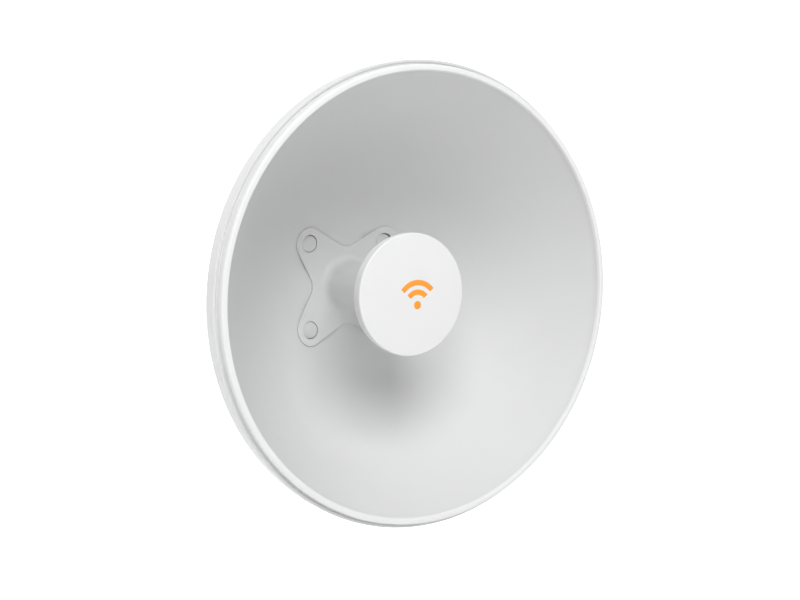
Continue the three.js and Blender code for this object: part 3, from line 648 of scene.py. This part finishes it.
def carriage_bolt(name, length):
    """A domed bolt along +Y with its bearing face at 0, a square neck and a threaded shank."""
    head_r, head_height, radius = 8.6, 4.2, 3.9
    dome = [(0.0, -head_height)]
    for a in steps(0, math.pi / 2, 12)[1:]:
        dome.append((head_r * math.sin(a), -0.9 - (head_height - 0.9) * math.cos(a)))
    head = lathe(name, dome + [(head_r - 0.3, 0.0), (0.0, 0.0)], 64)
    neck = bevel(block(-3.8, 3.8, -0.5, 2.9, -3.8, 3.8), 0.5, 30, 2)
    shank = thread(radius, 1.0, length)
    return merge(name, head, neck, shank)


def flange_nut(name, hex_r=7.5, flange_r=8.8, height=7.6, bore=4.0):
    """A hexagon nut along +Y with a round flange against 0."""
    turned = fillet(
        [(0.0, 0.0), (flange_r, 0.0), (flange_r, 1.0), (hex_r * 1.02, 2.2), (hex_r * 1.02, height - 1.0),
         (hex_r - 1.1, height), (0.0, height)],
        0.3, 3, closed=False,
    )
    nut = lathe(name, turned, 64)
    hexagon = prism("hexagon", ring_points(hex_r, 6), 2.2, height + 1)
    sleeve = lathe("sleeve", [(0.0, -1.0), (flange_r + 1, -1.0), (flange_r + 1, 2.2), (0.0, 2.2)], 64)
    combine(nut, "INTERSECT", merge("envelope", hexagon, sleeve))
    combine(nut, "DIFFERENCE", rod((0, 0), bore, -1, height + 1, count=40))
    sink_low, sink_high = height - 0.7, height + 0.1
    sink = lathe("sink", [(0.0, sink_low), (bore, sink_low), (bore + 0.8, sink_high), (0.0, sink_high)], 40)
    return bevel(combine(nut, "DIFFERENCE", sink), 0.18, 30, 1)


def instance(master, name, matrix, body, node, slot):
    """Another copy of a finished mesh, put in place."""
    piece = bpy.data.objects.new(name, master.data.copy())
    bpy.context.scene.collection.objects.link(piece)
    piece.data.transform(matrix)
    finish_piece(piece, body, node, slot, 28)


def at(x, y, z, side=0):
    """A move to a point in millimetres, and for side -1 or 1 a turn from +Y to outwards along X."""
    turn = Matrix.Rotation(-side * math.pi / 2, 4, "Z")
    return Matrix.Translation(Vector((x, y, z)) * MM) @ turn


def make_fasteners():
    m8_nut = flange_nut("m8_nut_master")
    m6_nut = flange_nut("m6_nut_master", 5.8, 7.0, 5.6, 3.1)
    head_y = bracket_high.y - SHEET - GAP
    jaw_back_y = mm_box("rear_jaw_upper")[1].y
    long_bolt = carriage_bolt("clamp_bolt_master", bolt_high.y - head_y)
    short_bolt = carriage_bolt("yoke_bolt_master", 20.5)
    for i, (sx, sz) in enumerate(QUARTERS):
        place = at(sx * CLAMP_X, head_y, sz * CLAMP_Z)
        instance(long_bolt, f"carriage_bolt_{i + 1}", place, "mount", f"clamp_bolt_{i + 1}", "zinc_steel")
        place = at(sx * LOBE, yoke_low.y + SHEET + GAP, sz * LOBE)
        instance(m6_nut, f"stud_nut_{i + 1}", place, "head", f"hub_nut_{i + 1}", "zinc_steel")
    for word, sz in (("upper", 1), ("lower", -1)):
        for hand, sx in SIDES:
            place = at(sx * CLAMP_X, jaw_back_y + GAP, sz * CLAMP_Z)
            node = f"clamp_nut_{word}_{hand}"
            instance(m8_nut, f"jaw_nut_{word}_{hand}", place, f"{word}_clamp", node, "zinc_steel")
    for hand, side in SIDES:
        for use, y, z in (("pivot", PIVOT_Y, 0.0), ("lock", LOCK_Y, LOCK_Z)):
            place = at(side * (yoke_high.x - SHEET - GAP), y, z, side)
            node = f"{use}_bolt_{hand}"
            instance(short_bolt, f"{use}_carriage_bolt_{hand}", place, "head", node, "zinc_steel")
            place = at(side * (bracket_high.x + GAP), y, z, side)
            instance(m8_nut, f"{use}_flange_nut_{hand}", place, "head", f"{use}_nut_{hand}", "zinc_steel")
    for master in (m8_nut, m6_nut, long_bolt, short_bolt):
        bpy.data.objects.remove(master)


# ---------------------------------------------------------------- hub, yoke and bracket

def sector(centre, width, inner_r, outer_r):
    """A piece of a ring, in degrees from +Z towards +X."""
    angles = [math.radians(a) for a in steps(centre - width / 2, centre + width / 2, 16)]
    outer = [(outer_r * math.sin(a), outer_r * math.cos(a)) for a in angles]
    inner = [(inner_r * math.sin(a), inner_r * math.cos(a)) for a in reversed(angles)]
    return outer + inner


def make_hub():
    plate_r, back_y, mouth_y, floor_y = 76, -122, -112, -128
    bore_r = TUBE_R + 0.7
    start = VERTEX_Y + DISH_WALL + 2 * GAP
    outline = [(bore_r, start), (FLAT_R, start)]
    outline += [(r, dish_y(r) + 2.2 + GAP) for r in steps(FLAT_R + 4, plate_r, 10)]
    outline += [
        (plate_r, back_y), (HUB_BARREL_R, back_y), (HUB_BARREL_R, mouth_y), (HUB_LIP_R, mouth_y),
        (HUB_LIP_R, HUB_LIP_Y), (HUB_CAVITY_R, HUB_LIP_Y), (HUB_CAVITY_R, floor_y), (bore_r, floor_y),
    ]
    hub = lathe("hub_casting", outline, 128)
    combine(hub, "INTERSECT", prism("outline", lobed_outline(13, 45.5), FORWARD, -100))
    for sx, sz in QUARTERS:
        centre = (sx * LOBE, sz * LOBE)
        boss = rod(centre, BOSS_HOLE_R, FORWARD, VERTEX_Y + 4)
        combine(hub, "DIFFERENCE", boss, rod(centre, STUD_HOLE_R, -140, -100, count=24))
    for turn in LUG_TURNS:
        way_in = sector(turn + 32, 34, HUB_LIP_R - 2, HUB_CAVITY_R)
        slot = prism("slot", way_in, HUB_LIP_Y - 0.5, mouth_y + 1)
        combine(hub, "DIFFERENCE", slot)
    dissolve_flat(hub, 0.5)
    bevel(hub, 0.6, 35, 3)
    finish_piece(hub, "head", "rear_hub", "cast_metal")


def channel_outline(half_width, web_y, end_y):
    """A sheet bent into a channel, as (x, y): its web at one Y, and its two sides running to another."""
    bend, inner_bend = 5.0, 2
    inward = 1 if end_y > web_y else -1
    inner = half_width - SHEET
    inner_web = web_y + SHEET * inward
    outline = [(-half_width, end_y)]
    for a in steps(0, math.pi / 2, 8):
        outline.append((-half_width + bend * (1 - math.cos(a)), web_y + inward * bend * (1 - math.sin(a))))
    for a in steps(math.pi / 2, 0, 8):
        outline.append((half_width - bend * (1 - math.cos(a)), web_y + inward * bend * (1 - math.sin(a))))
    outline += [(half_width, end_y), (inner, end_y)]
    for a in steps(0, math.pi / 2, 6):
        x, y = inner_bend * (1 - math.cos(a)), inward * inner_bend * (1 - math.sin(a))
        outline.append((inner - x, inner_web + y))
    for a in steps(math.pi / 2, 0, 6):
        x, y = inner_bend * (1 - math.cos(a)), inward * inner_bend * (1 - math.sin(a))
        outline.append((-inner + x, inner_web + y))
    outline.append((-inner, end_y))
    return outline


def make_yoke():
    """Bent sheet: a channel cut to its side outline, (y, z), with holes for the hub, studs and bolts."""
    side = [
        (-124, -54), (-116, -54), (-104, -44), (-68, -13), (-49, -13),
        (-49, 12), (-68, 45), (-80, 50), (-110, 50), (-116, 54), (-124, 54),
    ]
    web = (-130, -110)  # cutters through the yoke's web go from in front of it to behind it
    yoke = prism("yoke_sheet", channel_outline(yoke_high.x, yoke_low.y, -46), -60, 60, "Z")
    combine(yoke, "INTERSECT", prism("side", fillet(side, 9, 10), -ASIDE, ASIDE, "X"))
    combine(yoke, "DIFFERENCE", rod((0, 0), HUB_BARREL_R + 2 * GAP, *web, count=96))
    for sx, sz in QUARTERS:
        combine(yoke, "DIFFERENCE", rod((sx * LOBE, sz * LOBE), STUD_HOLE_R, *web, count=24))
    for y, z in ((PIVOT_Y, 0.0), (LOCK_Y, LOCK_Z)):
        neck = block(-ASIDE, ASIDE, y - NECK_HOLE, y + NECK_HOLE, z - NECK_HOLE, z + NECK_HOLE)
        combine(yoke, "DIFFERENCE", neck)
    dissolve_flat(yoke, 0.5)
    bevel(yoke, 0.45, 35, 2)
    finish_piece(yoke, "head", "yoke", "bracket_coating")


def slot_outline():
    """The lock bolt's arc slot, as (y, z): arcs round the pivot with a round end at each tilt limit."""
    reach = TILT_DEG + 0.6
    outline = []

    def point(radius, degrees):
        a = math.radians(degrees)
        return (PIVOT_Y + radius * math.cos(a), radius * math.sin(a))

    half = 4.3
    outline += [point(SLOT_R + half, d) for d in steps(SLOT_DEG - reach, SLOT_DEG + reach, 16)]
    for end, turn in ((SLOT_DEG + reach, 0), (SLOT_DEG - reach, 180)):
        y, z = point(SLOT_R, end)
        for t in steps(0, 180, 12)[1:-1]:
            a = math.radians(end + turn + t)
            outline.append((y + half * math.cos(a), z + half * math.sin(a)))
        if turn == 0:
            outline += [point(SLOT_R - half, d) for d in steps(SLOT_DEG + reach, SLOT_DEG - reach, 16)]
    return outline


def make_bracket():
    """Bent sheet: a channel cut to its side outline, (y, z), with a pivot hole, a slot and bolt holes."""
    side = [
        (-36, -58), (-52, -58), (-60, -30), (-76, -12), (-79, 4), (-104, 20),
        (-103, 40), (-88, 54), (-70, 58), (-36, 58),
    ]
    bracket = prism("bracket_sheet", channel_outline(bracket_high.x, bracket_high.y, -112), -70, 70, "Z")
    combine(bracket, "INTERSECT", prism("side", fillet(side, 9, 10), -ASIDE, ASIDE, "X"))
    slot = prism("slot", slot_outline(), -ASIDE, ASIDE, "X")
    combine(bracket, "DIFFERENCE", rod((PIVOT_Y, 0), 4.3, -ASIDE, ASIDE, "X"), slot)
    for sx, sz in QUARTERS:
        x, z = sx * CLAMP_X, sz * CLAMP_Z
        neck = block(x - NECK_HOLE, x + NECK_HOLE, -45, -35, z - NECK_HOLE, z + NECK_HOLE)
        combine(bracket, "DIFFERENCE", neck)
    dissolve_flat(bracket, 0.5)
    bevel(bracket, 0.45, 35, 2)
    finish_piece(bracket, "mount", "pole_bracket", "bracket_coating")


def make_jaws():
    for node, body in (
        ("front_jaw_upper", "mount"), ("front_jaw_lower", "mount"),
        ("rear_jaw_upper", "upper_clamp"), ("rear_jaw_lower", "lower_clamp"),
    ):
        piece = bevel(cad_copy(node, f"{node}_casting"), 0.45, 25, 3)
        finish_piece(piece, body, node, "cast_metal", 26)


# ---------------------------------------------------------------- radio and gland

SCREW_CIRCLE = 45
SCREW_AT = [
    (SCREW_CIRCLE * math.cos(math.radians(d)), SCREW_CIRCLE * math.sin(math.radians(d)))
    for d in (90, 210, 330)
]
GROUND_AT = (-42, 4)
VENT_AT = (42, 4)
LENS_Z = -42.5
RESET_AT = (-14, LENS_Z)


def make_radio_front():
    front_y, collar_y, collar_r, collar_bore_r = -108, -121, 34.5, 27
    inside_r, inside_y = RADIO_R - RADIO_WALL, front_y + RADIO_WALL
    outline = [
        (collar_bore_r, collar_y), (collar_r, collar_y), (collar_r, front_y), (RADIO_R - 5, front_y),
        (RADIO_R - 1.4, front_y + 1.6), (RADIO_R, front_y + 5), (RADIO_R, SPLIT_Y), (inside_r, SPLIT_Y),
        (inside_r, front_y + 5), (inside_r - 3, inside_y + 0.6), (inside_r - 6, inside_y),
        (collar_bore_r, inside_y),
    ]
    shell = lathe("radio_shell_front", fillet(outline, 1.6, 5), 160)
    for turn in LUG_TURNS:
        lug = prism("lug", sector(turn, 26, 33, HUB_CAVITY_R - 2 * GAP), collar_y, HUB_LIP_Y - GAP)
        combine(shell, "UNION", bevel(lug, 0.5, 40, 2))
    for centre in SCREW_AT:
        combine(shell, "UNION", rod(centre, 4, inside_y - 0.5, SPLIT_Y - GAP))
        combine(shell, "DIFFERENCE", rod(centre, 1.6, inside_y + 1, SPLIT_Y + 1, count=20))
    finish_piece(shell, "radio", "radio_front", "radio_plastic", 40)


def upright(radius, low, high, count=64):
    """A rod along Z on the gland's axis."""
    return prism("upright", ring_points(radius, count, (0, GLAND_Y)), low, high, "Z")


def fin(x, half, width=1.2):
    outline = [(x - width, -half), (x + width, -half), (x + width, half), (x - width, half)]
    return bevel(prism("fin", fillet(outline, width, 6), PANEL_Y - 0.5, FIN_Y), 0.35, 40, 2)


def make_radio_back():
    inside_r, inside_y = RADIO_R - RADIO_WALL, PANEL_Y - RADIO_WALL
    outline = [
        (0.0, inside_y), (inside_r - 4, inside_y), (inside_r, inside_y - 4), (inside_r, SPLIT_Y + GAP),
        (RADIO_R, SPLIT_Y + GAP), (RADIO_R, PANEL_Y - 5), (RADIO_R - 1.5, PANEL_Y - 1.5),
        (RADIO_R - 5, PANEL_Y), (0.0, PANEL_Y),
    ]
    shell = lathe("radio_shell_back", fillet(outline, 2.0, 6, closed=False), 160)
    for x in steps(-32, 32, 8):
        half = 34 if abs(x) < 1 else math.sqrt(44**2 - x**2) - 7
        combine(shell, "UNION", fin(x, half))
    combine(shell, "UNION", upright(13, CHIN_Z, CHIN_Z + 14))
    for centre in SCREW_AT:
        combine(shell, "UNION", rod(centre, 4.6, SPLIT_Y + 1, PANEL_Y - 1))
    ways = [upright(GLAND_BORE_R, CHIN_Z - 9, CHIN_Z + 21, 48)]
    deep, out = PANEL_Y - 8, FIN_Y + 1
    for centre in SCREW_AT:
        ways += [rod(centre, 1.9, PANEL_Y - 30, out), rod(centre, 3.7, PANEL_Y - 3, out)]
    for centre, radius in ((GROUND_AT, 2.4), (VENT_AT, 4.3), (RESET_AT, 2.9)):
        ways.append(rod(centre, radius, deep, out))
    ways.append(block(-7.3, 7.3, deep, out, LENS_Z - 2.3, LENS_Z + 2.3))
    combine(shell, "DIFFERENCE", *ways)
    finish_piece(shell, "radio", "radio_back", "radio_plastic", 35)


def headed(name, head_r, head_height, stem_r, stem_length, rounding, segments):
    """A stem along Y with a round head on it, whose outer face is at 0."""
    outline = [
        (0.0, -stem_length), (stem_r, -stem_length), (stem_r, -head_height), (head_r, -head_height),
        (head_r, 0.0), (0.0, 0.0),
    ]
    return lathe(name, fillet(outline, rounding, 3, closed=False), segments)


def make_cover_screws():
    for i, (x, z) in enumerate(SCREW_AT):
        screw = headed(f"torx_screw_{i + 1}", 3.4, 2.2, 1.3, 32, 0.4, 48)
        socket = []
        for k in range(36):
            a = 2 * math.pi * k / 36
            r = 1.35 + 0.28 * math.cos(6 * a)
            socket.append((r * math.cos(a), r * math.sin(a)))
        combine(screw, "DIFFERENCE", prism("socket", socket, -1.4, 1))
        screw.data.transform(at(x, PANEL_Y - 0.4, z))
        finish_piece(screw, "radio", f"cover_screw_{i + 1}", "zinc_steel")


def make_ground_screw():
    head_height = 2.6
    screw = headed("earth_screw", 4.6, head_height, 2, 8, 0.5, 56)
    reach, half = 3.3, 0.55  # the cross slot in its head
    along = block(-reach, reach, -1.3, 1, -half, half)
    across = block(-half, half, -1.3, 1, -reach, reach)
    combine(screw, "DIFFERENCE", along, across)
    screw.data.transform(at(GROUND_AT[0], PANEL_Y + head_height + GAP, GROUND_AT[1]))
    finish_piece(screw, "radio", "ground_screw", "zinc_steel")


def make_vent():
    head_height = 1.8
    vent = headed("pressure_vent", 6, head_height, 4, 7, 0.5, 64)
    for k in range(6):
        cutter = block(3.4, 7, -1.1, -0.5, -0.7, 0.7)
        cutter.data.transform(Matrix.Rotation(math.pi * k / 3, 4, "Y"))
        combine(vent, "DIFFERENCE", cutter)
    vent.data.transform(at(VENT_AT[0], PANEL_Y + head_height + GAP, VENT_AT[1]))
    finish_piece(vent, "radio", "vent_plug", "black_plastic")


def make_reset_button():
    button = headed("reset_cap", 2.5, 3.4, 3.9, 4.4, 0.4, 48)
    button.data.transform(at(RESET_AT[0], PANEL_Y + 0.4, RESET_AT[1]))
    finish_piece(button, "reset_button", "reset_button", "black_plastic")


def gland_lathe(name, profile, segments=72, rounding=0.4):
    """A closed outline of (r, depth) points, depth measured down from the radio's chin."""
    outline = [(r, CHIN_Z - depth) for r, depth in profile]
    piece = lathe(name, outline, segments, rounding)
    turn = Matrix.Rotation(math.pi / 2, 4, "X")
    piece.data.transform(Matrix.Translation((0, GLAND_Y * MM, 0)) @ turn)
    return tidy(piece)


def make_gland_body():
    bore = GLAND_BORE_R
    body = gland_lathe("gland_thread", [(bore, GAP), (11.5, GAP), (11.5, 19), (bore, 19)])
    flange = upright(14, CHIN_Z - 5.3, CHIN_Z - GAP, 6)
    chamfer = gland_lathe(
        "chamfer",
        [(bore - 1, GAP), (12.6, GAP), (14.2, 1.6), (14.2, 4), (12.6, 5.3), (bore - 1, 5.3)],
    )
    combine(flange, "INTERSECT", chamfer)
    combine(body, "UNION", flange)
    finish_piece(body, "radio", "gland_body", "black_plastic")


def make_gland_nut():
    inner, nut_r, grips = 11.9, 15, 16
    nut = gland_lathe(
        "gland_cap",
        [
            (inner, 6), (nut_r, 6), (nut_r, 22), (nut_r - 2.5, 27), (nut_r - 5, 29), (7.3, 29), (7.3, 26.5),
            (inner, 21.5),
        ],
        120, 0.7,
    )
    groove_at = nut_r - 0.05
    for k in range(grips):
        a = 2 * math.pi * (k + 0.5) / grips
        centre = (groove_at * math.cos(a), GLAND_Y + groove_at * math.sin(a))
        groove = prism("groove", ring_points(0.9, 16, centre), CHIN_Z - 21.5, CHIN_Z - 7.2, "Z")
        combine(nut, "DIFFERENCE", groove)
    finish_piece(nut, "gland_nut", "gland_nut", "black_plastic")


def make_gland_seal():
    seal = gland_lathe(
        "gland_bush",
        [(3.4, 2), (8.2, 2), (8.2, 19.5), (10, 20.2), (9.1, 22.4), (6.9, 25), (3.4, 26)],
        72, 0.5,
    )
    finish_piece(seal, "radio", "gland_seal", "seal_rubber")


# ---------------------------------------------------------------- camera, light and floor

def look_at(obj, target):
    obj.rotation_euler = (Vector(target) - obj.location).to_track_quat("-Z", "Y").to_euler()


def add_camera():
    """A camera in front of the dish, to its left and a little above it."""
    az, el = math.radians(-33.0), math.radians(6.0)
    distance = 0.95
    sensor_width = 36.0
    dish_width, dish_share = 0.4, 0.53375  # in metres, and of the picture's width if seen square on
    outward = Vector((math.sin(az) * math.cos(el), -math.cos(az) * math.cos(el), math.sin(el)))
    target = Vector((0.021, -0.2, -0.0105))
    data = bpy.data.cameras.new("camera")
    data.lens = sensor_width * dish_share * distance / dish_width
    camera = bpy.data.objects.new("camera", data)
    bpy.context.scene.collection.objects.link(camera)
    camera.location = target + outward * distance
    look_at(camera, target)
    bpy.context.scene.camera = camera


def add_area(name, location, target, size, energy):
    data = bpy.data.lights.new(name, "AREA")
    data.shape = "SQUARE"
    data.size = size
    data.energy = energy
    light = bpy.data.objects.new(name, data)
    bpy.context.scene.collection.objects.link(light)
    light.location = location
    look_at(light, target)


def add_stage():
    """A floor that curves up into a wall behind the object. Its sizes are in metres."""
    floor_z, back_y, radius, reach = -0.62, 2.6, 1.2, 7.0
    profile = [(-reach, floor_z), (back_y - radius, floor_z)]
    for a in steps(0, math.pi / 2, 24)[1:]:
        profile.append((back_y - radius + radius * math.sin(a), floor_z + radius * (1 - math.cos(a))))
    profile.append((back_y, 5.0))
    vertices = [(x / MM, y / MM, z / MM) for x in (-reach, reach) for y, z in profile]
    count = len(profile)
    faces = [(i, i + 1, count + i + 1, count + i) for i in range(count - 1)]
    stage = mesh_object("studio_floor", vertices, faces)
    shade(stage, 60)
    stage.data.materials.append(studio_white(STAGE_GLOW))


def studio_white(glow):
    """A matt white that shines faintly under and behind the dish, so that the backdrop stays plain."""
    material = finish("studio_white", (0.93, 0.93, 0.93), 0.9, shift=0.004, depth=0.0, specular=0.1)
    tree = material.node_tree
    shader = tree.nodes["Principled BSDF"]
    shader.inputs["Emission Color"].default_value = (1, 1, 1, 1)
    coordinates = tree.nodes.new("ShaderNodeTexCoord")
    split = tree.nodes.new("ShaderNodeSeparateXYZ")
    link(tree, coordinates, "Object", split, "Vector")
    rise = tree.nodes.new("ShaderNodeMapRange")
    rise.inputs["From Min"].default_value = -0.45
    rise.inputs["From Max"].default_value = 0.05
    rise.inputs["To Max"].default_value = glow
    link(tree, split, "Y", rise, "Value")
    link(tree, rise, "Result", shader, "Emission Strength")
    return material


def add_lights():
    world = bpy.data.worlds.new("studio")
    world.use_nodes = True
    background = world.node_tree.nodes["Background"]
    background.inputs["Color"].default_value = (1, 1, 1, 1)
    background.inputs["Strength"].default_value = 0.36
    bpy.context.scene.world = world
    bpy.context.scene.view_settings.view_transform = "Standard"
    centre = (0, -0.2, 0)
    add_area("key", (-0.55, -1.76, 1.62), centre, 1.8, 48)
    add_area("back_light", (-1.2, 1.6, 1.3), (0, -0.05, 0), 1.0, 4.5)


add_camera()
add_lights()
add_stage()
make_reflector()
make_feed_body()
make_cap_face()
make_cap_base()
make_mark()
make_studs()
make_hub()
make_yoke()
make_bracket()
make_jaws()
make_fasteners()
make_radio_front()
make_radio_back()
make_cover_screws()
make_ground_screw()
make_vent()
make_reset_button()
make_gland_body()
make_gland_nut()
make_gland_seal()

for name, node in frame["nodes"].items():
    if node.hide_render:
        continue
    slot = next(s["material_slot"] for s in frame["record"]["subparts"] if s["node"] == name)
    node.data.materials.clear()
    node.data.materials.append(FINISH[slot])
